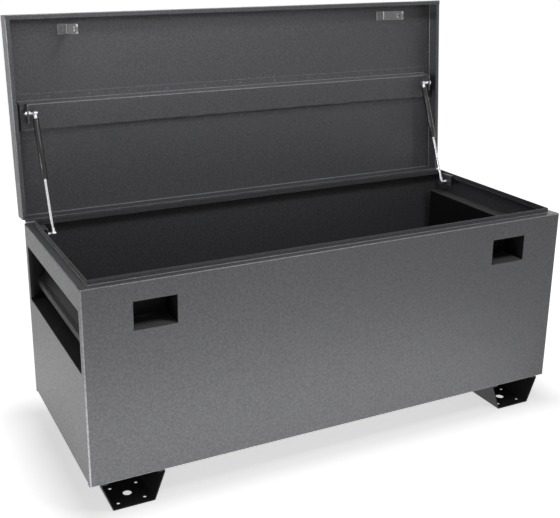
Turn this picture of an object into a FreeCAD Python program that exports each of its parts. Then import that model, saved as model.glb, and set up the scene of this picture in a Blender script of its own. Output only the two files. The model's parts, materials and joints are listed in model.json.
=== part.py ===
"""Steel storage chest with a lift-up lid, drawn with the lid open against its gas struts.

Millimetres. +X runs along the chest, +Y to the back and +Z up. The pieces are drawn with y = 0
at the middle of the body's depth and z = 0 on the floor. The lid's pieces are drawn closed and
then swung open about the hinge. At the end everything moves along Y, so that the origin is under
the middle of the box that the open chest fills.
"""

import FreeCAD, Part

import math
import os

V = FreeCAD.Vector
X_AXIS = V(1, 0, 0)
Y_AXIS = V(0, 1, 0)
Z_AXIS = V(0, 0, 1)
CENTRE = V(0, 0, 0)
SAME_POINT = 1e-6
FULL_TURN = 360
HEXAGON_SIDES = 6

# Body
BODY_WIDTH = 1524.0
BODY_DEPTH = 605.0
BODY_HEIGHT = 549.0
SHEET = 1.5
BEND_RADIUS = 1.5
RIM_FRONT = 25.0
RIM_REAR = 31.5
RIM_END = 26.0
UPSTAND_HEIGHT = 14.5
BOTTOM_RETURN = 20.0
LAP_FLANGE = 18.0
CORNER_RADIUS = 6.0

# Skids
SKID_HEIGHT = 86.0
SKID_PLATE = 3.0
SKID_INSET = 118.0
SKID_BASE_WIDTH = 118.0
SKID_TOP_WIDTH = 184.0
SKID_FLANGE = 22.0
CASTER_SPACING = 75.0
CASTER_INSET = 62.5
CASTER_HOLE_RADIUS = 5.0
CENTRE_HOLE_RADIUS = 12.5

# Lock pockets in the front panel and the boxes behind them
POCKET_INSET = 194.0
POCKET_WIDTH = 120.0
POCKET_HEIGHT = 79.0
POCKET_DROP = 52.0
LOCK_BOX_DEPTH = 88.0
LOCK_BOX_DROP = 17.0
LOCK_BOX_FLANGE = 12.0
SLOT_WIDTH = 10.0
SLOT_MARGIN = 4.0

# Handle recesses in the end panels
RECESS_DROP = 62.0
RECESS_HEIGHT = 172.0
RECESS_DEPTH = 60.0
RECESS_FRONT_MARGIN = 21.0
RECESS_REAR_MARGIN = 28.5
HANDLE_PLATE = 2.5
HANDLE_SETBACK = 23.0
HANDLE_LIP_SILL = 46.0
HANDLE_LIP_HEIGHT = 19.0
HANDLE_BROW_RUN = 12.0
HANDLE_BROW_RISE = 6.0
HANDLE_SLOPE_RISE = 23.0

# Lid
LID_SETBACK = 0.5
LID_SKIRT = 59.0
LID_LIP = 13.5
LID_GAP = 6.0
LID_OPEN_ANGLE = 94.8
LID_TOP_FLANGE = 15.0
STIFFENER_START = 260.0
STIFFENER_WIDTH = 88.0
STIFFENER_DEPTH = 25.0
STIFFENER_SLOPE = 8.0
STIFFENER_FLANGE = 22.0
STIFFENER_END_GAP = 26.0

# Lock lugs on the lid
LUG_SETBACK = 46.5
LUG_INSET = 2.0
LUG_OFFSET = -2.0
LUG_THICKNESS = 5.0
LUG_FLANGE = 26.0
LUG_WIDTH = 29.0
LUG_REACH = 60.0
LUG_HOLE_RADIUS = 7.0
LUG_HOLE_REACH = 35.0
LUG_CORNER = 9.5

# Hinge along the back
LEAF = 2.0
PIN_RADIUS = 4.0
PIN_CLEARANCE = 0.05
HINGE_DROP = 3.0
HINGE_END_GAP = 7.0
KNUCKLE_PAIRS = 15
KNUCKLE_GAP = 0.6
LEAF_HEIGHT = 30.0
KNUCKLE_CLEARANCE = 0.5
KNUCKLE_STANDOFF = 0.3

# Gas struts
BRACKET_INSET = 45.0
STRUT_TO_BRACKET = 20.0
STRUT_FOOT_FROM_REAR = 94.5
STRUT_FOOT_DROP = 13.0
STRUT_LID_REACH = 316.0
STRUT_LID_DEPTH = 5.5
TUBE_RADIUS = 9.0
TUBE_WALL = 1.5
ROD_RADIUS = 4.0
ROD_SHOWING_CLOSED = 10.0
GUIDE_LENGTH = 14.0
TUBE_END = 4.0
PISTON_LENGTH = 8.0
RUNNING_CLEARANCE = 0.08
SOCKET_RADIUS = 7.5
SOCKET_LENGTH = 11.0
SOCKET_NECK_RADIUS = 6.0
SOCKET_NECK_LENGTH = 9.0
SOCKET_SHIFT = 1.0
NECK_CLEARANCE = 1.0
BALL_RADIUS = 5.0
BALL_CLEARANCE = 0.1
STUD_RADIUS = 4.0
STUD_NECK_RADIUS = 3.0
STUD_HEX = 13.0
STUD_HEX_THICKNESS = 5.0
NUT_THICKNESS = 6.5
STUD_END = 3.0
BRACKET_PLATE = 3.0
BRACKET_CORNER = 6.0
FOOT_BRACKET_LENGTH = 46.0
FOOT_BRACKET_HEIGHT = 36.0
FOOT_BRACKET_CLEAR = 4.0
LID_BRACKET_LENGTH = 56.0
LID_BRACKET_RISE = 9.0
LID_BRACKET_FOOT = 18.0
PIVOT_GAP = 0.3

# Places worked out from the sizes above
HALF_WIDTH = BODY_WIDTH / 2
HALF_DEPTH = BODY_DEPTH / 2
SKID_CENTRE_X = HALF_WIDTH - SKID_INSET
POCKET_CENTRE_X = HALF_WIDTH - POCKET_INSET
LUG_X = POCKET_CENTRE_X - LUG_INSET
BRACKET_X = HALF_WIDTH - BRACKET_INSET
STRUT_X = BRACKET_X - STRUT_TO_BRACKET
BASE_Z = SKID_HEIGHT
RIM_Z = BASE_Z + BODY_HEIGHT
FLOOR_Z = BASE_Z + SHEET
FLOOR_TOP = FLOOR_Z + SHEET
POCKET_SILL = BODY_HEIGHT - POCKET_DROP - POCKET_HEIGHT
POCKET_Z = BASE_Z + POCKET_SILL
RECESS_SILL = BODY_HEIGHT - RECESS_DROP - RECESS_HEIGHT
RECESS_Z = BASE_Z + RECESS_SILL
LOCK_BOX_TOP = RIM_Z - LOCK_BOX_DROP
LID_Z = RIM_Z + LID_GAP
LID_TOP_Z = LID_Z + LID_SKIRT
LID_REAR = HALF_DEPTH - LEAF
LID_FRONT = -HALF_DEPTH + LID_SETBACK
KNUCKLE_BORE = PIN_RADIUS + PIN_CLEARANCE
KNUCKLE_RADIUS = KNUCKLE_BORE + LEAF
HINGE_Y = HALF_DEPTH + KNUCKLE_STANDOFF + KNUCKLE_RADIUS
HINGE_Z = RIM_Z - HINGE_DROP


def swing(y, z, angle):
    """A point of the closed lid after the lid has opened by an angle in degrees."""
    turn = math.radians(angle)
    dy = y - HINGE_Y
    dz = z - HINGE_Z
    return (HINGE_Y + dy * math.cos(turn) + dz * math.sin(turn),
            HINGE_Z - dy * math.sin(turn) + dz * math.cos(turn))


OPEN_BACK_Y = swing(LID_FRONT, LID_TOP_Z, LID_OPEN_ANGLE)[0]
ORIGIN_Y = (OPEN_BACK_Y - HALF_DEPTH) / 2

STRUT_FOOT = (HALF_DEPTH - STRUT_FOOT_FROM_REAR, RIM_Z - STRUT_FOOT_DROP)
STRUT_TOP_CLOSED = (LID_REAR - STRUT_LID_REACH, LID_Z + STRUT_LID_DEPTH)
STRUT_TOP_OPEN = swing(*STRUT_TOP_CLOSED, LID_OPEN_ANGLE)
OPEN_LENGTH = math.dist(STRUT_FOOT, STRUT_TOP_OPEN)
CLOSED_LENGTH = math.dist(STRUT_FOOT, STRUT_TOP_CLOSED)
STROKE = OPEN_LENGTH - CLOSED_LENGTH
SOCKET_REACH = SOCKET_RADIUS + SOCKET_NECK_LENGTH


def box(x0, x1, y0, y1, z0, z1):
    """A block between two corners."""
    return Part.makeBox(x1 - x0, y1 - y0, z1 - z0, V(x0, y0, z0))


def fused(shapes):
    """One solid from pieces that touch or overlap."""
    return shapes[0].multiFuse(shapes[1:]).removeSplitter()


def mirrored(shape):
    """The same shape on the other end of the chest."""
    return shape.mirror(CENTRE, X_AXIS)


def sheet_outline(points, thickness, side):
    """Edges round a bent sheet, in a plane. One face of the sheet follows the points and the
    other lies a thickness away, to the left (side 1) or to the right (side -1) of the path."""
    count = len(points)
    runs = []
    for first, last in zip(points, points[1:]):
        length = math.dist(first, last)
        runs.append(((last[0] - first[0]) / length, (last[1] - first[1]) / length))

    def normal(run):
        return (-run[1] * side, run[0] * side)

    def offset_point(index, offset):
        before = normal(runs[max(index - 1, 0)])
        after = normal(runs[min(index, count - 2)])
        scale = offset / (1 + before[0] * after[0] + before[1] * after[1])
        return (points[index][0] + (before[0] + after[0]) * scale,
                points[index][1] + (before[1] + after[1]) * scale)

    def face_line(offset):
        """Corner points and arcs of one face, as (start, middle, end) or (point,)."""
        items = [(offset_point(0, offset),)]
        for index in range(1, count - 1):
            before = runs[index - 1]
            after = runs[index]
            cross = before[0] * after[1] - before[1] * after[0]
            turn = math.atan2(cross, before[0] * after[0] + before[1] * after[1])
            inside = turn * side > 0
            radius = BEND_RADIUS + (thickness - offset if inside else offset)
            corner = offset_point(index, offset)
            cut = radius * math.tan(abs(turn) / 2)
            start = (corner[0] - before[0] * cut, corner[1] - before[1] * cut)
            end = (corner[0] + after[0] * cut, corner[1] + after[1] * cut)
            bisector = (after[0] - before[0], after[1] - before[1])
            length = math.hypot(*bisector)
            depth = radius / math.cos(turn / 2) - radius
            middle = (corner[0] + bisector[0] / length * depth,
                      corner[1] + bisector[1] / length * depth)
            items.append((start, middle, end))
        items.append((offset_point(count - 1, offset),))
        return items

    return face_line(0.0), face_line(thickness)


def bent_sheet(points, axis, start, end, thickness=SHEET, side=1):
    """A folded sheet: the outline of its section, drawn in the plane square to the axis and
    carried along the axis from start to end. Every fold has the bend radius."""
    place = {
        "X": lambda p: V(start, p[0], p[1]),
        "Y": lambda p: V(p[0], start, p[1]),
        "Z": lambda p: V(p[0], p[1], start),
    }[axis]
    travel = {"X": X_AXIS, "Y": Y_AXIS, "Z": Z_AXIS}[axis] * (end - start)
    outer, inner = sheet_outline(points, thickness, side)
    back = [tuple(reversed(item)) for item in reversed(inner)]
    edges = []
    last = outer[0][0]
    for item in outer[1:] + back + [outer[0]]:
        if math.dist(last, item[0]) > SAME_POINT:
            edges.append(Part.makeLine(place(last), place(item[0])))
        if len(item) == 3:
            edges.append(Part.Arc(place(item[0]), place(item[1]), place(item[2])).toShape())
        last = item[-1]
    return Part.Face(Part.Wire(edges)).extrude(travel)


def cylinder(radius, length, start, direction):
    """A round bar from a start point."""
    return Part.makeCylinder(radius, length, start, direction)


def hexagon(across_flats, thickness, start):
    """A hexagonal prism along X."""
    reach = across_flats / math.sqrt(3)
    corners = []
    for index in range(HEXAGON_SIDES + 1):
        angle = math.radians(FULL_TURN * index / HEXAGON_SIDES)
        corners.append(start + V(0, reach * math.cos(angle), reach * math.sin(angle)))
    return Part.Face(Part.makePolygon(corners)).extrude(X_AXIS * thickness)


def opened(shape):
    """A piece of the closed lid, swung to the open stop."""
    shape.rotate(V(0, HINGE_Y, HINGE_Z), X_AXIS, -LID_OPEN_ANGLE)
    return shape


def long_wall(rim):
    """The front wall's sheet: a return under the floor, the wall, the rim and the upstand."""
    front = -HALF_DEPTH
    upstand_x = HALF_WIDTH - RIM_END
    wall = [(front + BOTTOM_RETURN, BASE_Z), (front, BASE_Z), (front, RIM_Z)]
    flat_rim = wall + [(front + rim + SHEET, RIM_Z)]
    with_upstand = wall + [(front + rim, RIM_Z), (front + rim, RIM_Z + UPSTAND_HEIGHT)]
    pieces = [
        bent_sheet(flat_rim, "X", -HALF_WIDTH, -upstand_x, side=-1),
        bent_sheet(with_upstand, "X", -upstand_x, upstand_x, side=-1),
        bent_sheet(flat_rim, "X", upstand_x, HALF_WIDTH, side=-1),
    ]
    return fused(pieces)


def corners_rounded(wall):
    """A wall of the body with the chest's rounded upright corners."""
    body = box(-HALF_WIDTH, HALF_WIDTH, -HALF_DEPTH, HALF_DEPTH, BASE_Z, RIM_Z + UPSTAND_HEIGHT)
    upright = [edge for edge in body.Edges if edge.BoundBox.ZLength > BODY_HEIGHT]
    return wall.common(body.makeFillet(CORNER_RADIUS, upright))


def front_panel():
    """The front wall with its two lock pockets."""
    panel = corners_rounded(long_wall(RIM_FRONT))
    for sign in (-1, 1):
        middle = sign * POCKET_CENTRE_X
        panel = panel.cut(box(middle - POCKET_WIDTH / 2, middle + POCKET_WIDTH / 2,
                              -HALF_DEPTH - SHEET, -HALF_DEPTH + 2 * SHEET,
                              POCKET_Z, POCKET_Z + POCKET_HEIGHT))
    return panel


def rear_panel():
    """The rear wall: the same folds as the front with a wider rim."""
    return corners_rounded(long_wall(RIM_REAR).mirror(CENTRE, Y_AXIS))


def notch(reach, y, z, into_y, into_z):
    """Room for the inside of a neighbour's fold, at a corner of a right end piece. It goes a bend
    radius into the piece along Y and Z, and reaches in from the chest's end."""
    along_y = sorted((y, y + into_y * BEND_RADIUS))
    along_z = sorted((z, z + into_z * BEND_RADIUS))
    return box(HALF_WIDTH - reach, HALF_WIDTH, along_y[0], along_y[1], along_z[0], along_z[1])


def recess_span():
    """Where the handle recess starts and ends along Y."""
    return -HALF_DEPTH + RECESS_FRONT_MARGIN, HALF_DEPTH - RECESS_REAR_MARGIN


def end_panel():
    """The right end wall: it stands on the floor sheet between the long walls."""
    rim_y = (-HALF_DEPTH + RIM_FRONT + SHEET, HALF_DEPTH - RIM_REAR - SHEET)
    inner_y = HALF_DEPTH - SHEET
    foot = [(HALF_WIDTH - LAP_FLANGE, FLOOR_TOP), (HALF_WIDTH, FLOOR_TOP)]
    upstand_x = HALF_WIDTH - RIM_END
    full = foot + [(HALF_WIDTH, RIM_Z), (upstand_x, RIM_Z), (upstand_x, RIM_Z + UPSTAND_HEIGHT)]
    plain = foot + [(HALF_WIDTH, RIM_Z - SHEET)]
    lap_top = RIM_Z - SHEET
    pieces = [
        bent_sheet(full, "Y", rim_y[0], rim_y[1]),
        bent_sheet(plain, "Y", -inner_y, rim_y[0]),
        bent_sheet(plain, "Y", rim_y[1], inner_y),
        box(HALF_WIDTH - LAP_FLANGE, HALF_WIDTH - SHEET, -inner_y, -inner_y + SHEET,
            FLOOR_TOP, lap_top),
        box(HALF_WIDTH - LAP_FLANGE, HALF_WIDTH - SHEET, inner_y - SHEET, inner_y,
            FLOOR_TOP, lap_top),
    ]
    opening_y = recess_span()
    cuts = [
        box(HALF_WIDTH - 2 * SHEET, HALF_WIDTH + SHEET, opening_y[0], opening_y[1],
            RECESS_Z, RECESS_Z + RECESS_HEIGHT),
        notch(LAP_FLANGE, -inner_y, lap_top, 1, -1),
        notch(LAP_FLANGE, inner_y, lap_top, -1, -1),
    ]
    return corners_rounded(fused(pieces).cut(Part.makeCompound(cuts)))


def floor_panel():
    """The flat floor sheet, resting on the returns of the long walls."""
    half_x = HALF_WIDTH - SHEET - BEND_RADIUS
    half_y = HALF_DEPTH - SHEET - BEND_RADIUS
    return box(-half_x, half_x, -half_y, half_y, FLOOR_Z, FLOOR_TOP)


def handle_pan():
    """The right handle recess: a pan open towards the end of the chest."""
    y0, y1 = recess_span()
    outer = HALF_WIDTH - SHEET
    back = HALF_WIDTH - RECESS_DEPTH
    top = RECESS_Z + RECESS_HEIGHT
    shell = box(back, outer, y0 - SHEET, y1 + SHEET, RECESS_Z - SHEET, top + SHEET)
    corners = [edge for edge in shell.Edges if edge.BoundBox.XMax < back + SHEET / 2]
    shell = shell.makeFillet(BEND_RADIUS + SHEET, corners)
    hollow = box(back + SHEET, outer + SHEET, y0, y1, RECESS_Z, top)
    inner = [edge for edge in hollow.Edges if edge.BoundBox.XMax < back + 2 * SHEET]
    return shell.cut(hollow.makeFillet(BEND_RADIUS, inner))


def handle_bar():
    """The folded plate that the fingers reach under, welded to the back of the right pan."""
    y0, y1 = recess_span()
    lip_x = HALF_WIDTH - HANDLE_SETBACK
    back_x = HALF_WIDTH - RECESS_DEPTH + SHEET
    lip_z = RECESS_Z + HANDLE_LIP_SILL
    lip_top = lip_z + HANDLE_LIP_HEIGHT
    brow = (lip_x - HANDLE_BROW_RUN, lip_top + HANDLE_BROW_RISE)
    section = [(lip_x, lip_z), (lip_x, lip_top), brow, (back_x, brow[1] + HANDLE_SLOPE_RISE)]
    bar = bent_sheet(section, "Y", y0 + BEND_RADIUS, y1 - BEND_RADIUS, thickness=HANDLE_PLATE)
    behind = box(back_x - HANDLE_SLOPE_RISE, back_x, y0, y1, lip_z, RECESS_Z + RECESS_HEIGHT)
    return bar.cut(behind)


def lug_span():
    """Where the closed lock lug starts and ends along Y."""
    middle = LID_FRONT + LUG_SETBACK
    return middle - LUG_WIDTH / 2, middle + LUG_WIDTH / 2


def lug_x(sign):
    """The middle of a lug's plate along X. Both lugs are folded the same way, so both plates
    stand a little to the left."""
    return sign * LUG_X + LUG_OFFSET


def lock_box(sign):
    """A lock box behind the front panel, with the slot that the lug drops through."""
    front = -HALF_DEPTH + SHEET
    back = -HALF_DEPTH + LOCK_BOX_DEPTH
    left = sign * POCKET_CENTRE_X - POCKET_WIDTH / 2
    right = sign * POCKET_CENTRE_X + POCKET_WIDTH / 2
    shell = box(left - SHEET, right + SHEET, front, back, POCKET_Z - SHEET, LOCK_BOX_TOP)
    rear_edges = [edge for edge in shell.Edges if edge.BoundBox.YMin > back - SHEET]
    shell = shell.makeFillet(BEND_RADIUS + SHEET, rear_edges)
    hollow = box(left, right, front - SHEET, back - SHEET, POCKET_Z, LOCK_BOX_TOP - SHEET)
    rear_edges = [edge for edge in hollow.Edges if edge.BoundBox.YMin > back - 2 * SHEET]
    flange = box(left - LOCK_BOX_FLANGE, right + LOCK_BOX_FLANGE, front, front + SHEET,
                 POCKET_Z - LOCK_BOX_FLANGE, LOCK_BOX_TOP)
    lug_y = lug_span()
    slot = box(lug_x(sign) - SLOT_WIDTH / 2, lug_x(sign) + SLOT_WIDTH / 2,
               lug_y[0] - SLOT_MARGIN, lug_y[1] + SLOT_MARGIN,
               LOCK_BOX_TOP - 2 * SHEET, LOCK_BOX_TOP + SHEET)
    shell = shell.fuse(flange).cut(hollow.makeFillet(BEND_RADIUS, rear_edges))
    return shell.cut(slot).removeSplitter()


def skid():
    """The right skid: a folded trough across the depth with caster holes at both ends."""
    base = SKID_BASE_WIDTH / 2
    top = SKID_TOP_WIDTH / 2
    section = [(-top + SKID_FLANGE, SKID_HEIGHT), (-top, SKID_HEIGHT), (-base, 0.0),
               (base, 0.0), (top, SKID_HEIGHT), (top - SKID_FLANGE, SKID_HEIGHT)]
    section = [(SKID_CENTRE_X + x, z) for x, z in section]
    channel = bent_sheet(section, "Y", -HALF_DEPTH, HALF_DEPTH, thickness=SKID_PLATE)
    holes = []
    for sign in (-1, 1):
        middle = sign * (HALF_DEPTH - CASTER_INSET)
        holes.append(cylinder(CENTRE_HOLE_RADIUS, 2 * SKID_PLATE,
                              V(SKID_CENTRE_X, middle, -SKID_PLATE / 2), Z_AXIS))
        for across in (-0.5, 0.5):
            for along in (-0.5, 0.5):
                place = V(SKID_CENTRE_X + across * CASTER_SPACING,
                          middle + along * CASTER_SPACING, -SKID_PLATE / 2)
                holes.append(cylinder(CASTER_HOLE_RADIUS, 2 * SKID_PLATE, place, Z_AXIS))
    return channel.cut(Part.makeCompound(holes))


def lid_top():
    """The lid's main sheet: front lip, front skirt, top and rear skirt."""
    section = [(LID_REAR, LID_Z), (LID_REAR, LID_TOP_Z), (LID_FRONT, LID_TOP_Z),
               (LID_FRONT, LID_Z), (LID_FRONT + LID_LIP, LID_Z)]
    return bent_sheet(section, "X", -HALF_WIDTH, HALF_WIDTH)


def lid_end():
    """The right end skirt of the lid, under the top sheet, with its return lip."""
    under = LID_TOP_Z - SHEET
    lip_end_y = LID_FRONT + LID_LIP
    head = [(HALF_WIDTH, under), (HALF_WIDTH - LID_TOP_FLANGE, under)]
    with_lip = [(HALF_WIDTH - LID_LIP, LID_Z), (HALF_WIDTH, LID_Z)] + head
    plain = [(HALF_WIDTH, LID_Z + SHEET)] + head
    front = LID_FRONT + SHEET
    rear = LID_REAR - SHEET
    pieces = [
        bent_sheet(with_lip, "Y", lip_end_y, rear),
        bent_sheet(plain, "Y", front, lip_end_y),
    ]
    notches = [
        notch(LID_TOP_FLANGE, front, under, 1, -1),
        notch(LID_TOP_FLANGE, rear, under, -1, -1),
        notch(LID_TOP_FLANGE, front, LID_Z + SHEET, 1, 1),
    ]
    return fused(pieces).cut(Part.makeCompound(notches))


def lid_stiffener():
    """The hat channel across the inside of the lid."""
    under = LID_TOP_Z - SHEET
    rear = LID_REAR - STIFFENER_START
    front = rear - STIFFENER_WIDTH
    crown = under - STIFFENER_DEPTH
    section = [(rear + STIFFENER_FLANGE, under), (rear, under), (rear - STIFFENER_SLOPE, crown),
               (front + STIFFENER_SLOPE, crown), (front, under), (front - STIFFENER_FLANGE, under)]
    half = HALF_WIDTH - STIFFENER_END_GAP
    return bent_sheet(section, "X", -half, half)


def lock_lug(sign):
    """A lock lug: a folded plate that hangs from the lid's sheet, with the padlock hole."""
    y0, y1 = lug_span()
    under = LID_TOP_Z - SHEET
    tip = LID_Z - LUG_REACH
    face = lug_x(sign) + LUG_THICKNESS / 2
    flange_end = face - LUG_THICKNESS - LUG_FLANGE
    section = [(flange_end, under), (face, under), (face, tip)]
    plate = bent_sheet(section, "Y", y0, y1, thickness=LUG_THICKNESS, side=-1)
    tip_edges = [edge for edge in plate.Edges
                 if edge.BoundBox.ZMax < LID_Z and edge.BoundBox.XLength > LUG_THICKNESS / 2]
    plate = plate.makeFillet(LUG_CORNER, tip_edges)
    hole = cylinder(LUG_HOLE_RADIUS, LUG_THICKNESS,
                    V(face - LUG_THICKNESS, (y0 + y1) / 2, LID_Z - LUG_HOLE_REACH), X_AXIS)
    return plate.cut(hole)


def knuckles(first):
    """Start and end along X of every other hinge knuckle."""
    half = HALF_WIDTH - HINGE_END_GAP
    pitch = half / KNUCKLE_PAIRS
    spans = []
    for index in range(first, 2 * KNUCKLE_PAIRS, 2):
        start = -half + index * pitch
        spans.append((start + KNUCKLE_GAP / 2, start + pitch - KNUCKLE_GAP / 2))
    return spans


def hinge_bore():
    """The hole for the pin through all knuckles."""
    return cylinder(KNUCKLE_BORE, BODY_WIDTH, V(-HALF_WIDTH, HINGE_Y, HINGE_Z), X_AXIS)


def hinge_body_leaf():
    """The leaf on the back of the body, rolled into knuckles at its top."""
    half = HALF_WIDTH - HINGE_END_GAP
    notch_z = HINGE_Z - KNUCKLE_RADIUS - KNUCKLE_CLEARANCE
    bottom = notch_z - LEAF_HEIGHT
    pieces = [box(-half, half, HALF_DEPTH, HALF_DEPTH + LEAF, bottom, notch_z)]
    for start, end in knuckles(0):
        pieces.append(box(start, end, HALF_DEPTH, HALF_DEPTH + LEAF, notch_z, HINGE_Z))
        pieces.append(cylinder(KNUCKLE_RADIUS, end - start, V(start, HINGE_Y, HINGE_Z), X_AXIS))
    return fused(pieces).cut(hinge_bore())


def hinge_lid_leaf():
    """The leaf on the lid's rear skirt, folded back over all the knuckles and rolled into those
    between the others."""
    half = HALF_WIDTH - HINGE_END_GAP
    fold_z = HINGE_Z + KNUCKLE_RADIUS + KNUCKLE_STANDOFF
    upright_z = fold_z + LEAF
    pieces = [
        box(-half, half, LID_REAR, LID_REAR + LEAF, fold_z, fold_z + LEAF_HEIGHT),
        box(-half, half, LID_REAR, HINGE_Y, fold_z, upright_z),
    ]
    for start, end in knuckles(1):
        pieces.append(box(start, end, HINGE_Y - KNUCKLE_RADIUS, HINGE_Y, HINGE_Z, upright_z))
        pieces.append(cylinder(KNUCKLE_RADIUS, end - start, V(start, HINGE_Y, HINGE_Z), X_AXIS))
    return fused(pieces).cut(hinge_bore())


def hinge_pin():
    """The pin through the hinge."""
    length = 2 * (HALF_WIDTH - HINGE_END_GAP)
    return cylinder(PIN_RADIUS, length, V(-length / 2, HINGE_Y, HINGE_Z), X_AXIS)


def stud_hole(y, z):
    """The hole in a bracket for a ball stud's threaded end."""
    return cylinder(STUD_RADIUS + PIN_CLEARANCE, BRACKET_PLATE, V(BRACKET_X, y, z), X_AXIS)


def bracket_plate(y0, y1, z0, z1):
    """A bracket's upright plate with its two lower corners rounded."""
    plate = box(BRACKET_X, BRACKET_X + BRACKET_PLATE, y0, y1, z0, z1)
    corners = [edge for edge in plate.Edges
               if edge.BoundBox.ZMax < (z0 + z1) / 2 and edge.BoundBox.XLength > BRACKET_PLATE / 2]
    return plate.makeFillet(BRACKET_CORNER, corners)


def foot_bracket():
    """The right bracket for the strut's foot, folded over to the end upstand."""
    y, z = STRUT_FOOT
    y0 = y - FOOT_BRACKET_LENGTH / 2
    y1 = y + FOOT_BRACKET_LENGTH / 2
    top = RIM_Z + UPSTAND_HEIGHT - FOOT_BRACKET_CLEAR
    plate = bracket_plate(y0, y1, top - FOOT_BRACKET_HEIGHT, top)
    upstand_face = HALF_WIDTH - RIM_END - SHEET
    arm = box(BRACKET_X, upstand_face, y0, y1, top - BRACKET_PLATE, top)
    return fused([plate, arm]).cut(stud_hole(y, z))


def lid_bracket():
    """The right bracket for the strut's top, standing on the stiffener of the closed lid."""
    y, z = STRUT_TOP_CLOSED
    y0 = y - LID_BRACKET_LENGTH / 2
    y1 = y + LID_BRACKET_LENGTH / 2
    crown = LID_TOP_Z - SHEET - STIFFENER_DEPTH - SHEET
    plate = bracket_plate(y0, y1, z - LID_BRACKET_RISE, crown)
    foot = box(BRACKET_X, BRACKET_X + LID_BRACKET_FOOT, y0, y1, crown - BRACKET_PLATE, crown)
    return fused([plate, foot]).cut(stud_hole(y, z))


def ball_on_neck(radius, neck_radius, reach, centre):
    """A ball with a round neck that reaches along +X from its centre, turned as one piece."""
    join = math.asin(neck_radius / radius)
    over = (math.pi + join) / 2
    start = centre - X_AXIS * radius
    crest = centre + V(radius * math.cos(over), radius * math.sin(over), 0)
    shoulder = centre + V(radius * math.cos(join), neck_radius, 0)
    neck_end = centre + V(reach, neck_radius, 0)
    axis_end = centre + V(reach, 0, 0)
    edges = [
        Part.Arc(start, crest, shoulder).toShape(),
        Part.makeLine(shoulder, neck_end),
        Part.makeLine(neck_end, axis_end),
        Part.makeLine(axis_end, start),
    ]
    return Part.Face(Part.Wire(edges)).revolve(centre, X_AXIS, FULL_TURN)


def ball_stud(y, z, shank):
    """A ball stud towards +X: ball, neck, hexagon, and a threaded shank through the bracket."""
    hex_start = BRACKET_X - PIVOT_GAP - STUD_HEX_THICKNESS
    pieces = [
        ball_on_neck(BALL_RADIUS, STUD_NECK_RADIUS, hex_start - STRUT_X, V(STRUT_X, y, z)),
        hexagon(STUD_HEX, STUD_HEX_THICKNESS, V(hex_start, y, z)),
    ]
    if shank:
        start = hex_start + STUD_HEX_THICKNESS
        length = PIVOT_GAP + BRACKET_PLATE + NUT_THICKNESS + STUD_END
        pieces.append(cylinder(STUD_RADIUS, length, V(start, y, z), X_AXIS))
    return fused(pieces)


def stud_nut(y, z):
    """The nut behind a bracket, with a bore that clears the shank."""
    nut = hexagon(STUD_HEX, NUT_THICKNESS, V(BRACKET_X + BRACKET_PLATE, y, z))
    bore = cylinder(STUD_RADIUS + PIN_CLEARANCE, NUT_THICKNESS, V(BRACKET_X + BRACKET_PLATE, y, z),
                    X_AXIS)
    return nut.cut(bore)


def screw_end(y, z):
    """The threaded end of the upper stud: in the bracket's hole and the nut."""
    length = BRACKET_PLATE + NUT_THICKNESS + STUD_END
    return cylinder(STUD_RADIUS, length, V(BRACKET_X, y, z), X_AXIS)


def strut_point(distance):
    """A point on the open strut's line, measured from the ball at its foot."""
    share = distance / OPEN_LENGTH
    return V(STRUT_X,
             STRUT_FOOT[0] + (STRUT_TOP_OPEN[0] - STRUT_FOOT[0]) * share,
             STRUT_FOOT[1] + (STRUT_TOP_OPEN[1] - STRUT_FOOT[1]) * share)


STRUT_LINE = (strut_point(OPEN_LENGTH) - strut_point(0)) / OPEN_LENGTH
TUBE_START = SOCKET_REACH + ROD_SHOWING_CLOSED + STROKE
TUBE_STOP = OPEN_LENGTH - SOCKET_REACH


def socket(distance, towards):
    """A ball socket on the strut, open on the side of its stud, with a neck along the strut."""
    centre = strut_point(distance)
    head_start = centre - X_AXIS * (SOCKET_LENGTH / 2 + SOCKET_SHIFT)
    head = cylinder(SOCKET_RADIUS, SOCKET_LENGTH, head_start, X_AXIS)
    neck = cylinder(SOCKET_NECK_RADIUS, SOCKET_REACH, centre, STRUT_LINE * towards)
    hollow = ball_on_neck(BALL_RADIUS + BALL_CLEARANCE, STUD_NECK_RADIUS + NECK_CLEARANCE,
                          SOCKET_LENGTH, centre)
    return fused([head, neck]).cut(hollow)


def rod():
    """The strut's rod, from its foot socket to the piston inside the tube."""
    start = SOCKET_REACH
    stop = TUBE_START + GUIDE_LENGTH + RUNNING_CLEARANCE
    return cylinder(ROD_RADIUS, stop - start, strut_point(start), STRUT_LINE)


def piston():
    """The piston on the rod's inner end, against the guide when the strut is out."""
    start = TUBE_START + GUIDE_LENGTH + RUNNING_CLEARANCE
    radius = TUBE_RADIUS - TUBE_WALL - RUNNING_CLEARANCE
    return cylinder(radius, PISTON_LENGTH, strut_point(start), STRUT_LINE)


def tube():
    """The strut's gas tube, closed at its top end."""
    length = TUBE_STOP - TUBE_START
    outside = cylinder(TUBE_RADIUS, length, strut_point(TUBE_START), STRUT_LINE)
    inside = cylinder(TUBE_RADIUS - TUBE_WALL, length - TUBE_END, strut_point(TUBE_START), STRUT_LINE)
    return outside.cut(inside)


def rod_guide():
    """The guide and seal in the tube's open end, round the rod."""
    ring = cylinder(TUBE_RADIUS - TUBE_WALL, GUIDE_LENGTH, strut_point(TUBE_START), STRUT_LINE)
    bore = cylinder(ROD_RADIUS + RUNNING_CLEARANCE, GUIDE_LENGTH, strut_point(TUBE_START),
                    STRUT_LINE)
    return ring.cut(bore)


def both_ends(name, shape):
    """A piece at the right end and its mirror image at the left, with their names."""
    return {"right_" + name: shape, "left_" + name: mirrored(shape)}


def pair(shape):
    """Two identical pieces, one at each end, kept together."""
    return Part.makeCompound([shape, mirrored(shape)])


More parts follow.
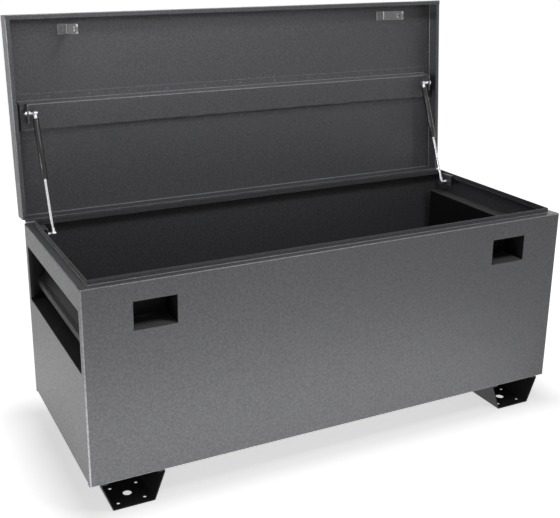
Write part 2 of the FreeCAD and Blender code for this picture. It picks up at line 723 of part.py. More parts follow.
def build():
    """Every piece of the chest with its name."""
    foot_y, foot_z = STRUT_FOOT
    top_y, top_z = STRUT_TOP_CLOSED
    open_y, open_z = STRUT_TOP_OPEN
    pieces = {
        "front_panel": front_panel(),
        "rear_panel": rear_panel(),
        "floor_panel": floor_panel(),
        "hinge_body_leaf": hinge_body_leaf(),
        "hinge_pin": hinge_pin(),
        "foot_stud_nuts": pair(stud_nut(foot_y, foot_z)),
        "lid_top": opened(lid_top()),
        "lid_stiffener": opened(lid_stiffener()),
        "hinge_lid_leaf": opened(hinge_lid_leaf()),
        "lid_stud_nuts": opened(pair(stud_nut(top_y, top_z))),
        "lid_stud_ends": opened(pair(screw_end(top_y, top_z))),
        "left_lock_box": lock_box(-1),
        "right_lock_box": lock_box(1),
        "left_lock_lug": opened(lock_lug(-1)),
        "right_lock_lug": opened(lock_lug(1)),
    }
    pieces.update(both_ends("end_panel", end_panel()))
    pieces.update(both_ends("handle_pan", handle_pan()))
    pieces.update(both_ends("handle_bar", handle_bar()))
    pieces.update(both_ends("skid", skid()))
    pieces.update(both_ends("foot_bracket", foot_bracket()))
    pieces.update(both_ends("foot_ball_stud", ball_stud(foot_y, foot_z, True)))
    pieces.update(both_ends("lid_end", opened(lid_end())))
    pieces.update(both_ends("lid_bracket", opened(lid_bracket())))
    pieces.update(both_ends("strut_rod", rod()))
    pieces.update(both_ends("strut_piston", piston()))
    pieces.update(both_ends("strut_foot_socket", socket(0, 1)))
    pieces.update(both_ends("strut_tube", tube()))
    pieces.update(both_ends("strut_rod_guide", rod_guide()))
    pieces.update(both_ends("strut_top_socket", socket(OPEN_LENGTH, -1)))
    pieces.update(both_ends("strut_top_ball_stud", ball_stud(open_y, open_z, False)))
    return pieces


os.makedirs("parts", exist_ok=True)
for node, shape in build().items():
    shape.translate(V(0, -ORIGIN_Y, 0))
    shape.exportStep("parts/" + node + ".step")
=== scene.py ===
"""Looks of the steel storage chest: its coats and metals, the fine parts, light and camera.

Metres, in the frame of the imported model: +X runs along the chest, +Y to the back, +Z up.
"""

import json
import math
import random

import bmesh
import bpy
from mathutils import Matrix, Vector

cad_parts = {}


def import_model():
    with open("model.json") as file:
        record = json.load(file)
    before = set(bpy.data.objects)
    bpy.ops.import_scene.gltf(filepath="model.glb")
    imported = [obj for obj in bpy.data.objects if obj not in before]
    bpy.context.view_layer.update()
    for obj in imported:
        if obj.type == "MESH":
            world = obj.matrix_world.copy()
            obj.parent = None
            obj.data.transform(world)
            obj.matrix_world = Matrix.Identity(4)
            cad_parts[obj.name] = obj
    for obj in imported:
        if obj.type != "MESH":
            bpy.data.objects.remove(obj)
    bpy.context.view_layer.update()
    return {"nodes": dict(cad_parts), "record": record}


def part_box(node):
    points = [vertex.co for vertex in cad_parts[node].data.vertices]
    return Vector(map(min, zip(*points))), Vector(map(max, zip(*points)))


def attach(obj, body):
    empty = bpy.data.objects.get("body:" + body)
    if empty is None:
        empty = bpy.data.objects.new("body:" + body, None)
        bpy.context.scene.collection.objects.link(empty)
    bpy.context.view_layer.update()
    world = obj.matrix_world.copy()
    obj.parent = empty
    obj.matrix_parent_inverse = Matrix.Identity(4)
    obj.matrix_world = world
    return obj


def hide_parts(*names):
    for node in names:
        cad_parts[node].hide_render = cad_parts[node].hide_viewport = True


MM = 0.001

# Camera of the photograph
FRAME_WIDTH = 560
FRAME_HEIGHT = 518
SENSOR_MM = 36.0
FOCAL_PX = 919.86
AXIS_PX = (245.87, 217.79)
CAMERA_PLACE = (-1.28977, -2.41278, 1.45583)
CAMERA_TURN = 25.42
CAMERA_DIP = 17.02
CAMERA_ROLL = -0.067

# Colours of coats and metals
POWDER_COLOUR = (0.150, 0.152, 0.161)
LUG_COLOUR = (0.42, 0.42, 0.425)
PRIMER_COLOUR = (0.028, 0.028, 0.029)
SKID_COLOUR = (0.020, 0.020, 0.022)
TUBE_COLOUR = (0.013, 0.013, 0.014)
CHROME_COLOUR = (0.60, 0.60, 0.61)
ZINC_COLOUR = (0.62, 0.62, 0.64)
SEAL_COLOUR = (0.030, 0.030, 0.030)

# Textured coat: pebbles and grain in features per metre, depths and shares; the pebbles' tones
# are painted shade in their hollows and painted light on their tops
NOISE_LIMITS = (0.3, 0.7)
PEBBLE_SCALE = 150.0
PEBBLE_DETAIL = 4.0
PEBBLE_ROUGHNESS = 0.75
PEBBLE_DEPTH = 1.6 * MM
PEBBLE_SHADE_LIMITS = (0.38, 0.62)
PEBBLE_SHADE_TONES = (0.78, 1.22)
GRAIN_SCALE = 900.0
GRAIN_DEPTH = 0.1 * MM
COAT_LEVEL = 0.5
PRIMER_LEVEL = 0.10

# Painted highlight on folds and eased edges: largest share of a normal along one axis between
# which a face turns from fold to flat, and how much lighter a fold is painted
EDGE_HIGHLIGHT_LIMITS = (0.92, 0.992)
EDGE_HIGHLIGHT_GAIN = 5.0

# Painted light on the primer: how far up a face looks, and distances from the middle of the
# chest, between which it sets in; faces that look up and the mouths of the handle recesses are
# painted lighter
TOP_LIGHT_LIMITS = (0.4, 0.9)
TOP_LIGHT_GAIN = 8.0
MOUTH_LIGHT_LIMITS = (0.748, 0.760)
MOUTH_LIGHT_GAIN = 3.5

# Bare metal: scales of gloss and relief as shares of its grain
GLOSS_SHARE = 0.7
RELIEF_SHARE = 1.6

# Edges of the carried-over pieces
WELD_REACH = 0.005 * MM
FLAT_ANGLE = math.radians(0.5)
EASE_WIDTH = 0.6 * MM
EASE_SEGMENTS = 2
SHARP_ANGLE = math.radians(40)

# Sheets and plates
SHEET = 1.5 * MM
LEAF = 2.0 * MM
PLATE = 3.0 * MM
RIM_FRONT = 26.5 * MM
RIM_REAR = 33.0 * MM
UPSTAND = 14.0 * MM
SIDES = ("left", "right")

# Sides of turned skins
TURN_SIDES = 32
HEX_SIDES = 72
STRUT_SIDES = 48
SPOT_SIDES = 20

# Ball studs and nuts
BALL_RADIUS = 5.0 * MM
BALL_STEPS = 10
NECK_RADIUS = 3.0 * MM
SIXTH_TURN = math.tau / 6
HEX_FLATS = 13.0 * MM
HEX_THICKNESS = 5.0 * MM
NUT_THICKNESS = 6.5 * MM
CHAMFER_FACE = 0.93
CHAMFER_STEPS = 4
BORE_RADIUS = 4.02 * MM
BORE_MOUTH = 4.6 * MM
BORE_SINK = 0.6 * MM
SHANK_RADIUS = 4.0 * MM
LID_SHANK_LENGTH = 12.5 * MM
THREAD_PITCH = 1.25 * MM
THREAD_DEPTH = 0.7 * MM
THREAD_STEPS = 6
THREAD_CHAMFER = 0.8 * MM

# Gas struts
ROD_CENTRE = 0.1 * MM
ROD_CHAMFER = 0.3 * MM
TUBE_WALL = 1.5 * MM
TUBE_LIP = 0.7 * MM
TUBE_DOME = 2.5 * MM
TUBE_GROOVES = (6.0 * MM, 14.0 * MM)
GROOVE_DEPTH = 0.9 * MM
GROOVE_HALF_WIDTH = 1.9 * MM
GROOVE_STEPS = 5
GUIDE_DEPTH = 13.9 * MM
ARC_STEPS = 5
SOCKET_RADIUS = 7.5 * MM
CLIP_WIRE = 0.55 * MM
CLIP_SETBACK = 3.0 * MM
CLIP_OPENING = math.radians(48)
CLIP_TAIL = 1.6 * MM
CLIP_STEPS = 28
CLIP_RESOLUTION = 3

# Spot welds: the mark, as shares of its rise and radius, and where the rows lie
SPOT_RADIUS = 3.2 * MM
SPOT_RISE = 0.22 * MM
SPOT_SINK = 0.1 * MM
SPOT_PROFILE = ((0.0, 1.0), (1.0, 0.86), (1.0, 0.72), (0.3, 0.5), (0.15, 0.1))
FLANGE_SPOT = 12.0 * MM
LID_END_SPOT = 6.5 * MM
LAP_SPOT = 10.0 * MM
BOX_SPOT = 6.0 * MM
BOX_PITCH = 42.0 * MM
STIFFENER_PITCH = 128.0 * MM
STIFFENER_STEPS = 5
END_PITCH = 110.0 * MM
LEAF_PITCH = 100.0 * MM
LAP_PITCH = 78.0 * MM
PAN_SPOT = 11.5 * MM
PAN_PITCH = 55.0 * MM
PAN_SPOTS = 3
BRACKET_SPOT = 11.0 * MM
BRACKET_SPOT_HALF_PITCH = 16.0 * MM

# Weld beads
BEAD_RADIUS = 1.3 * MM
BEAD_STEP = 0.8 * MM
BEAD_RIPPLE = (1.1, 0.85)
BEAD_UNEVEN = 0.08
BEAD_RESOLUTION = 2
BEAD_MARGIN = 5.0 * MM
LUG_BEAD = 22.0 * MM
BAR_LIP = 19.0 * MM
STITCH_PITCH = 140.0 * MM
STITCH_HALF = 14.0 * MM

# Heads of the hinge pin
PIN_HEAD_SINK = 0.2 * MM
PIN_HEAD_RISE = 1.4 * MM
PIN_HEAD_REACH = 1.15
PIN_HEAD_STEPS = 7

# Directions on the closed lid and on the body
DOWN = (0, 0, -1)
UP = (0, 0, 1)
BACK = (0, 1, 0)
FRONT = (0, -1, 0)

# Floor: glow under the chest, lower there as a painted shadow, and away from it, and the
# distances between which it changes
FLOOR_HALF = 30.0
FLOOR_DROP = 0.2 * MM
FLOOR_COLOUR = (0.80, 0.80, 0.80, 1.0)
FLOOR_GLOW_WITH_PAINTED_SHADOW = (0.50, 1.0)
PAINTED_SHADOW_FADE = (-0.05, 0.16)

# World: white to look at, and its light on the object
WHITE = (1.0, 1.0, 1.0, 1.0)
WORLD_LIGHT = 0.03

# Lamps: a full spread in degrees, and how far a floor lamp's aim leans
FULL_SPREAD = 180.0
BOUNCE_LEAN = 0.0001


# Node helpers

def add_node(tree, kind, **values):
    """A shader node; each value sets an input of that name or else a property."""
    node = tree.nodes.new(kind)
    for name, value in values.items():
        label = name.replace("_", " ").title()
        if label in node.inputs:
            node.inputs[label].default_value = value
        else:
            setattr(node, name, value)
    return node


def combined(tree, operation, first, second):
    """Two values through one arithmetic node."""
    node = add_node(tree, "ShaderNodeMath", operation=operation)
    tree.links.new(first, node.inputs[0])
    tree.links.new(second, node.inputs[1])
    return node.outputs[0]


def vector_step(tree, operation, source, other=(0.0, 0.0, 0.0)):
    """A vector and a constant one through one vector node."""
    node = add_node(tree, "ShaderNodeVectorMath", operation=operation)
    tree.links.new(source, node.inputs[0])
    node.inputs[1].default_value = other
    return node.outputs["Vector"]


def split(tree, source):
    """The three parts of a vector."""
    node = add_node(tree, "ShaderNodeSeparateXYZ")
    tree.links.new(source, node.inputs["Vector"])
    return node.outputs


def ramp(tree, source, limits, values):
    """A value that runs between two others while its source runs between two limits."""
    node = add_node(tree, "ShaderNodeMapRange")
    node.inputs["From Min"].default_value = limits[0]
    node.inputs["From Max"].default_value = limits[1]
    node.inputs["To Min"].default_value = values[0]
    node.inputs["To Max"].default_value = values[1]
    tree.links.new(source, node.inputs["Value"])
    return node.outputs["Result"]


def new_material(name):
    """An empty node material and its principled shader."""
    material = bpy.data.materials.new(name)
    material.use_nodes = True
    tree = material.node_tree
    shader = tree.nodes["Principled BSDF"]
    return material, tree, shader


def noise(tree, scale, detail=2.0, roughness=0.5):
    """Noise over the piece's own coordinates, in features per metre."""
    place = add_node(tree, "ShaderNodeTexCoord")
    texture = add_node(tree, "ShaderNodeTexNoise", scale=scale, detail=detail,
                       roughness=roughness)
    tree.links.new(place.outputs["Object"], texture.inputs["Vector"])
    return texture.outputs["Fac"]


def spread(tree, source, low, high):
    """A noise value stretched to run from low to high."""
    return ramp(tree, source, NOISE_LIMITS, (low, high))


def tint(tree, shader, colour, source):
    """Gives a shader a colour made lighter and darker by a factor near one."""
    mix = add_node(tree, "ShaderNodeVectorMath", operation="SCALE")
    mix.inputs[0].default_value = colour
    tree.links.new(source, mix.inputs["Scale"])
    tree.links.new(mix.outputs["Vector"], shader.inputs["Base Color"])


def roughen(tree, shader, source, low, high):
    """Gives a shader a roughness that runs from low to high."""
    tree.links.new(spread(tree, source, low, high), shader.inputs["Roughness"])


def bumps(tree, shader, layers):
    """Surface relief from several height sources, as (source, depth in metres)."""
    last = None
    for source, depth in layers:
        bump = add_node(tree, "ShaderNodeBump", strength=1.0, distance=depth)
        tree.links.new(source, bump.inputs["Height"])
        if last is not None:
            tree.links.new(last.outputs["Normal"], bump.inputs["Normal"])
        last = bump
    tree.links.new(last.outputs["Normal"], shader.inputs["Normal"])


# Coats and metals

def pebbled_skin(name, level):
    """A textured powder coat but for its colour: pebbles, fine grain and gloss. Gives back the
    pebbles too."""
    material, tree, shader = new_material(name)
    pebbles = noise(tree, PEBBLE_SCALE, PEBBLE_DETAIL, PEBBLE_ROUGHNESS)
    roughen(tree, shader, pebbles, low=0.44, high=0.32)
    shader.inputs["Specular IOR Level"].default_value = level
    bumps(tree, shader, [(pebbles, PEBBLE_DEPTH), (noise(tree, GRAIN_SCALE), GRAIN_DEPTH)])
    return material, tree, shader, pebbles


def painted_edge_highlight(tree):
    """Painted highlight: one on flat sheet and more on folds and eased edges, which are painted
    lighter as if they caught the light.
    """
    place = add_node(tree, "ShaderNodeTexCoord")
    sizes = split(tree, vector_step(tree, "ABSOLUTE", place.outputs["Normal"]))
    most = combined(tree, "MAXIMUM", sizes["X"], sizes["Y"])
    most = combined(tree, "MAXIMUM", most, sizes["Z"])
    return ramp(tree, most, EDGE_HIGHLIGHT_LIMITS, (EDGE_HIGHLIGHT_GAIN, 1.0))


def textured_coat(name, colour):
    """A textured powder coat with painted shade in the pebbles' hollows, painted light on their
    tops and a painted highlight on folds.
    """
    material, tree, shader, pebbles = pebbled_skin(name, COAT_LEVEL)
    # painted shade and light: the colour follows the pebbles' height, darker in hollows and
    # lighter on tops
    pebble_light_and_shade = ramp(tree, pebbles, PEBBLE_SHADE_LIMITS, PEBBLE_SHADE_TONES)
    # painted highlight on folds and edges, and painted light and shade on the pebbles, multiplied
    # into the colour
    tint(tree, shader, colour, combined(tree, "MULTIPLY", pebble_light_and_shade, painted_edge_highlight(tree)))
    return material


def primer_coat():
    """Black primer in the lock boxes and handle recesses, with painted light, a grey lift, on
    what faces up and on the mouths of the recesses."""
    material, tree, shader, _ = pebbled_skin("primer_coat", PRIMER_LEVEL)
    shape = add_node(tree, "ShaderNodeNewGeometry")
    # painted light from above: faces that look up are painted lighter
    up = ramp(tree, split(tree, shape.outputs["Normal"])["Z"], TOP_LIGHT_LIMITS, (1.0, TOP_LIGHT_GAIN))
    place = add_node(tree, "ShaderNodeTexCoord")
    along = split(tree, vector_step(tree, "ABSOLUTE", place.outputs["Object"]))["X"]
    # painted light at the mouths of the handle recesses
    mouth = ramp(tree, along, MOUTH_LIGHT_LIMITS, (1.0, MOUTH_LIGHT_GAIN))
    tint(tree, shader, PRIMER_COLOUR, combined(tree, "MAXIMUM", up, mouth))
    return material


def skid_coat():
    """Black powder coat on the skids, a little smoother."""
    material, tree, shader = new_material("skid_coat")
    tone = spread(tree, noise(tree, scale=300.0, detail=3.0), low=0.85, high=1.15)
    tint(tree, shader, SKID_COLOUR, tone)
    roughen(tree, shader, noise(tree, scale=14.0), low=0.36, high=0.44)
    shader.inputs["Specular IOR Level"].default_value = 0.4
    bumps(tree, shader, [(noise(tree, scale=190.0), 0.10 * MM),
                         (noise(tree, scale=650.0), 0.03 * MM)])
    return material


def strut_tube_coat():
    """Gloss black paint on the gas tubes."""
    material, tree, shader = new_material("strut_tube_coat")
    tone = spread(tree, noise(tree, scale=60.0), low=0.9, high=1.1)
    tint(tree, shader, TUBE_COLOUR, tone)
    roughen(tree, shader, noise(tree, scale=40.0), low=0.10, high=0.14)
    bumps(tree, shader, [(noise(tree, scale=260.0), 0.002 * MM)])
    return material


def metal(name, colour, low, high, grain, depth):
    """A bare metal with fine marks in its relief and in its gloss, from low to high."""
    material, tree, shader = new_material(name)
    tone = spread(tree, noise(tree, grain, detail=3.0), low=0.92, high=1.06)
    tint(tree, shader, colour, tone)
    shader.inputs["Metallic"].default_value = 1.0
    roughen(tree, shader, noise(tree, GLOSS_SHARE * grain), low, high)
    bumps(tree, shader, [(noise(tree, RELIEF_SHARE * grain), depth)])
    return material


def strut_rod_steel():
    """Chrome on the struts' rods."""
    return metal("strut_rod_steel", CHROME_COLOUR, low=0.12, high=0.18, grain=180.0,
                 depth=0.004 * MM)


def socket_metal():
    """Cast zinc of the ball sockets."""
    return metal("socket_metal", ZINC_COLOUR, low=0.26, high=0.38, grain=420.0, depth=0.03 * MM)


def zinc_steel():
    """Zinc plate on studs, nuts, clips and the hinge pin."""
    return metal("zinc_steel", ZINC_COLOUR, low=0.22, high=0.34, grain=500.0, depth=0.02 * MM)


def seal():
    """Matt moulded plastic of the rod guides."""
    material, tree, shader = new_material("seal")
    tone = spread(tree, noise(tree, scale=400.0), low=0.85, high=1.15)
    tint(tree, shader, SEAL_COLOUR, tone)
    shader.inputs["Roughness"].default_value = 0.62
    bumps(tree, shader, [(noise(tree, scale=900.0), 0.01 * MM)])
    return material


def make_materials():
    """Every finish of the record, by slot."""
    return {
        "powder_coat": textured_coat("powder_coat", POWDER_COLOUR),
        "lug_coat": textured_coat("lug_coat", LUG_COLOUR),
        "primer_coat": primer_coat(),
        "skid_coat": skid_coat(),
        "strut_tube_coat": strut_tube_coat(),
        "strut_rod_steel": strut_rod_steel(),
        "socket_metal": socket_metal(),
        "zinc_steel": zinc_steel(),
        "seal": seal(),
    }


def dress_nodes(frame, finishes):
    """Gives every carried-over node its coat and eases its sheared edges."""
    for node in frame["nodes"].values():
        slot = node.material_slots[0].material.name.split(".")[0]
        node.data.materials[0] = finishes[slot]
        for face in node.data.polygons:
            face.use_smooth = True
        weld = node.modifiers.new("weld", "WELD")
        weld.merge_threshold = WELD_REACH
        flat = node.modifiers.new("flat", "DECIMATE")
        flat.decimate_type = "DISSOLVE"
        flat.angle_limit = FLAT_ANGLE
        ease = node.modifiers.new("ease", "BEVEL")
        ease.width = EASE_WIDTH
        ease.segments = EASE_SEGMENTS
        ease.limit_method = "ANGLE"
        ease.angle_limit = SHARP_ANGLE
        even = node.modifiers.new("even", "WEIGHTED_NORMAL")
        even.keep_sharp = False


# Pieces built here

def add_piece(name, data, slot, body, finishes):
    """A new piece from a mesh or a curve, in its finish and riding on its body."""
    data.materials.append(finishes[slot])
    piece = bpy.data.objects.new(name, data)
    bpy.context.scene.collection.objects.link(piece)
    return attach(piece, body)


def make_piece(name, bm, slot, body, finishes):
    """A new piece from a bmesh, smooth but for its sharp edges."""
    bmesh.ops.recalc_face_normals(bm, faces=bm.faces)
    for face in bm.faces:
        face.smooth = True
    for edge in bm.edges:
        edge.smooth = edge.calc_face_angle(0.0) < SHARP_ANGLE
    mesh = bpy.data.meshes.new(name)
    bm.to_mesh(mesh)
    bm.free()
    return add_piece(name, mesh, slot, body, finishes)


def round_curve(name, radius, resolution):
    """An empty curve that becomes a round wire."""
    data = bpy.data.curves.new(name, "CURVE")
    data.dimensions = "3D"
    data.bevel_depth = radius
    data.bevel_resolution = resolution
    data.use_fill_caps = True
    return data


def add_line(data, spots):
    """A smooth line through a curve's new spots; gives back its points."""
    spline = data.splines.new("POLY")
    spline.points.add(len(spots) - 1)
    for point, spot in zip(spline.points, spots):
        point.co = (*spot, 1.0)
    spline.use_smooth = True
    return spline.points


def place_along(origin, direction):
    """A place whose own X axis runs along a direction."""
    turn = Vector(direction).to_track_quat("X", "Z")
    return Matrix.Translation(origin) @ turn.to_matrix().to_4x4()


def turned(bm, place, section, sides=TURN_SIDES, closed=False):
    """A skin round the X axis of a place. The section lists (distance, reach), where a reach is
    a number or a function of the angle. A closed section joins its last ring to its first."""
    rings = []
    for distance, reach in section:
        ring = []
        for index in range(sides):
            angle = math.tau * index / sides
            out = reach(angle) if callable(reach) else reach
            point = Vector((distance, out * math.cos(angle), out * math.sin(angle)))
            ring.append(bm.verts.new(place @ point))
        rings.append(ring)
    joined = list(zip(rings, rings[1:]))
    if closed:
        joined.append((rings[-1], rings[0]))
    else:
        bm.faces.new(rings[-1])
    for lower, upper in joined:
        for index in range(sides):
            after = (index + 1) % sides
            bm.faces.new((lower[index], upper[index], upper[after], lower[after]))


def middle(node):
    """The middle of a CAD node's box."""
    low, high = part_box(node)
    return (low + high) / 2


def outward(side):
    """The direction from the middle of the chest to one end."""
    return (-1 if side == "left" else 1, 0, 0)


def inner_x(side, box):
    """Where a box of one end lies nearest to the middle of the chest."""
    return box[1].x if side == "left" else box[0].x


def outer_x(side, box):
    """Where a box of one end lies farthest from the middle of the chest."""
    return box[0].x if side == "left" else box[1].x


def end_place(node, side, outer=False):
    """A place on the axis of one end's part of a node, pointing outwards: at its outer end, or
    else at its inner end."""
    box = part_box(node)
    centre = middle(node)
    x = outer_x(side, box) if outer else inner_x(side, box)
    return place_along((x, centre.y, centre.z), outward(side))


def lid_swing(frame):
    """The turn that takes the closed lid to its open rest."""
    hinge = [joint for joint in frame["record"]["behaviour"]["joints"]
             if joint["name"] == "lid_hinge"][0]
    there = Matrix.Translation(hinge["pos_m"])
    turn = Matrix.Rotation(-math.radians(max(hinge["range_deg"])), 4, "X")
    return there @ turn @ there.inverted()


def closed_box(frame, node):
    """A lid node's lowest and highest corners with the lid closed."""
    unswing = lid_swing(frame).inverted()
    points = [unswing @ vertex.co for vertex in frame["nodes"][node].data.vertices]
    low = Vector([min(point[axis] for point in points) for axis in range(3)])
    high = Vector([max(point[axis] for point in points) for axis in range(3)])
    return low, high


# Screws and ball studs

def hexagon_reach(flats, limit):
    """How far out a hexagon goes at each angle, cut back to a limit by its chamfer."""
    def reach(angle):
        off = angle % SIXTH_TURN - SIXTH_TURN / 2
        return min(flats / 2 / math.cos(off), limit)
    return reach


def hexagon_rows(flats, start, stop):
    """Section rows of a hexagon with both faces chamfered at thirty degrees."""
    corner = flats / 2 / math.cos(SIXTH_TURN / 2)
    face = CHAMFER_FACE * flats / 2
    rise = (corner - face) * math.tan(SIXTH_TURN / 2)
    shares = [step / CHAMFER_STEPS for step in range(CHAMFER_STEPS + 1)]
    limits = [(share, hexagon_reach(flats, face + (corner - face) * share)) for share in shares]
    head = [(start + rise * share, reach) for share, reach in limits]
    tail = [(stop - rise * share, reach) for share, reach in reversed(limits)]
    return head + tail


def thread_rows(start, stop):
    """Section rows of a screw thread whose end is chamfered."""
    count = math.ceil((stop - start) / THREAD_PITCH * THREAD_STEPS)
    rows = []
    for step in range(count + 1):
        distance = start + (stop - start) * step / count
        limit = SHANK_RADIUS - max(0.0, distance - stop + THREAD_CHAMFER)

        def reach(angle, distance=distance, limit=limit):
            phase = (distance / THREAD_PITCH - angle / math.tau) % 1.0
            return min(limit, SHANK_RADIUS - THREAD_DEPTH * abs(2 * phase - 1))
        rows.append((distance, reach))
    return rows


def hex_nuts(node, body, finishes):
    """The two nuts behind a pair of brackets: chamfered, with a countersunk bore."""
    bm = bmesh.new()
    for side in SIDES:
        outside = hexagon_rows(HEX_FLATS, -NUT_THICKNESS, 0.0)
        bore = [(0.0, BORE_MOUTH), (-BORE_SINK, BORE_RADIUS),
                (BORE_SINK - NUT_THICKNESS, BORE_RADIUS), (-NUT_THICKNESS, BORE_MOUTH)]
        turned(bm, end_place(node, side, outer=True), outside + bore, HEX_SIDES, closed=True)
    nuts = make_piece(node.replace("nuts", "hex_nuts"), bm, "zinc_steel", body, finishes)
    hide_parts(node)


def ball_rows():
    """Section rows of the ball and its neck, from the ball's free end."""
    rows = []
    join = math.asin(NECK_RADIUS / BALL_RADIUS)
    for step in range(1, BALL_STEPS + 1):
        angle = (math.pi - join) * step / BALL_STEPS
        rows.append((BALL_RADIUS * (1 - math.cos(angle)), BALL_RADIUS * math.sin(angle)))
    return rows


def ball_stud(node, side, body, finishes):
    """A ball stud: ball, neck, chamfered hexagon and, where the node has one, a thread."""
    low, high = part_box(node)
    length = high.x - low.x
    top_low, top_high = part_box(side + "_strut_top_ball_stud")
    hex_stop = top_high.x - top_low.x
    section = ball_rows() + hexagon_rows(HEX_FLATS, hex_stop - HEX_THICKNESS, hex_stop)
    if length > hex_stop + THREAD_PITCH:
        section = section + thread_rows(hex_stop, length)
    bm = bmesh.new()
    turned(bm, end_place(node, side), section, HEX_SIDES)
    stud = make_piece(node + "_turned", bm, "zinc_steel", body, finishes)
    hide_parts(node)


def threaded_ends(finishes):
    """The threaded ends of the upper studs, in the lid's brackets and nuts."""
    node = "lid_stud_ends"
    bm = bmesh.new()
    for side in SIDES:
        start = end_place(node, side, outer=True) @ Matrix.Translation((-LID_SHANK_LENGTH, 0, 0))
        turned(bm, start, thread_rows(0.0, LID_SHANK_LENGTH))
    ends = make_piece("lid_stud_threads", bm, "zinc_steel", "lid", finishes)
    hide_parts(node)


# Gas struts

def strut_line(side):
    """The foot ball's middle and the direction to the top ball's middle."""
    foot = middle(side + "_foot_ball_stud")
    top = middle(side + "_strut_top_ball_stud")
    tube = middle(side + "_strut_tube")
    foot.x = top.x = tube.x
    return foot, (top - foot).normalized()


def strut_span(side, node):
    """Where a round piece of a strut starts and stops along the strut's line, and its radius."""
    low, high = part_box(node)
    foot, line = strut_line(side)
    radius = (high.x - low.x) / 2
    start = (low.z - foot.z + radius * abs(line.y)) / line.z
    stop = (high.z - foot.z - radius * abs(line.y)) / line.z
    return start, stop, radius


def polished_rod(side, finishes):
    """The rod: round, with both ends chamfered."""
    node = side + "_strut_rod"
    foot, line = strut_line(side)
    start, stop, radius = strut_span(side, node)
    section = [(start, ROD_CENTRE), (start, radius - ROD_CHAMFER), (start + ROD_CHAMFER, radius),
               (stop - ROD_CHAMFER, radius), (stop, radius - ROD_CHAMFER)]
    bm = bmesh.new()
    turned(bm, place_along(foot, line), section, STRUT_SIDES)
    rod = make_piece(side + "_polished_rod", bm, "strut_rod_steel", side + "_rod", finishes)
    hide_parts(node)


def arc_rows(centre, reach, radius, start, stop):
    """Section rows along an arc about a point at a distance and a reach."""
    rows = []
    for step in range(ARC_STEPS + 1):
        angle = start + (stop - start) * step / ARC_STEPS
        rows.append((centre + radius * math.cos(angle), reach + radius * math.sin(angle)))
    return rows


def groove_rows(centre, radius):
    """Section rows across one crimped groove."""
    rows = []
    for step in range(-GROOVE_STEPS, GROOVE_STEPS + 1):
        share = step / GROOVE_STEPS
        depth = GROOVE_DEPTH * (1 + math.cos(math.pi * share)) / 2
        rows.append((centre + GROOVE_HALF_WIDTH * share, radius - depth))
    return rows


def gas_tube(side, finishes):
    """The tube: rolled end, two crimped grooves that hold the guide, and a domed closed end."""
    node = side + "_strut_tube"
    foot, line = strut_line(side)
    start, stop, radius = strut_span(side, node)
    length = stop - start
    bore = radius - TUBE_WALL
    section = [(GUIDE_DEPTH, bore), (TUBE_LIP, bore)]
    section += arc_rows(TUBE_LIP, bore + TUBE_LIP, TUBE_LIP, math.pi * 1.5, math.pi)
    section += arc_rows(TUBE_LIP, radius - TUBE_LIP, TUBE_LIP, math.pi, math.pi / 2)
    for groove in TUBE_GROOVES:
        section += groove_rows(groove, radius)
    section += arc_rows(length - TUBE_DOME, radius - TUBE_DOME, TUBE_DOME, math.pi / 2, 0.0)
    bm = bmesh.new()
    turned(bm, place_along(foot + line * start, line), section, STRUT_SIDES)
    tube = make_piece(side + "_gas_tube", bm, "strut_tube_coat", side + "_tube", finishes)
    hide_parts(node)


def socket_clip(side, which, stud, body, finishes):
    """The spring clip round a ball socket, open towards the strut, with its ends turned in."""
    line = strut_line(side)[1]
    towards = line if which == "foot" else -line
    centre = middle(side + "_" + stud)
    outer = outer_x(side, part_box(side + "_strut_" + which + "_socket"))
    centre.x = outer - outward(side)[0] * CLIP_SETBACK
    across = Vector((1, 0, 0)).cross(towards)
    reach = SOCKET_RADIUS + CLIP_WIRE / 2
    points = []
    for step in range(CLIP_STEPS + 1):
        angle = CLIP_OPENING + (math.tau - 2 * CLIP_OPENING) * step / CLIP_STEPS
        points.append(centre + towards * (reach * math.cos(angle))
                      + across * (reach * math.sin(angle)))
    points.insert(0, points[0] - across * CLIP_TAIL + towards * CLIP_TAIL)
    points.append(points[-1] + across * CLIP_TAIL + towards * CLIP_TAIL)
    name = side + "_" + which + "_socket_clip"
    data = round_curve(name, CLIP_WIRE, CLIP_RESOLUTION)
    add_line(data, points)
    add_piece(name, data, "zinc_steel", body, finishes)


def strut_details(finishes):
    """The fine parts of both struts."""
    for side in SIDES:
        ball_stud(side + "_foot_ball_stud", side, "chest", finishes)
        ball_stud(side + "_strut_top_ball_stud", side, side + "_tube", finishes)
        polished_rod(side, finishes)
        gas_tube(side, finishes)
        socket_clip(side, "foot", "foot_ball_stud", side + "_rod", finishes)
        socket_clip(side, "top", "strut_top_ball_stud", side + "_tube", finishes)
    hex_nuts("foot_stud_nuts", "chest", finishes)
    hex_nuts("lid_stud_nuts", "lid", finishes)
    threaded_ends(finishes)


# Spot welds

def spot_welds(name, body, spots, finishes):
    """Spot weld marks under the coat: a low ring round a shallow dish at each (place, normal)."""
    section = [(-SPOT_SINK, SPOT_RADIUS)]
    section += [(rise * SPOT_RISE, reach * SPOT_RADIUS) for rise, reach in SPOT_PROFILE]
    bm = bmesh.new()
    for place, normal in spots:
        turned(bm, place_along(place, normal), section, SPOT_SIDES)
    make_piece(name, bm, "powder_coat", body, finishes)


def evenly(start, stop, pitch):
    """Places from start to stop at about a pitch, with half a pitch left at both ends."""
    count = max(1, round((stop - start) / pitch))
    return [start + (stop - start) * (index + 0.5) / count for index in range(count)]


def lid_spots(frame, name, places, normal, finishes):
    """Spot welds at places of the closed lid, carried to its open rest."""
    swing = lid_swing(frame)
    normal = swing.to_3x3() @ Vector(normal)
    spot_welds(name, "lid", [(swing @ Vector(place), normal) for place in places], finishes)


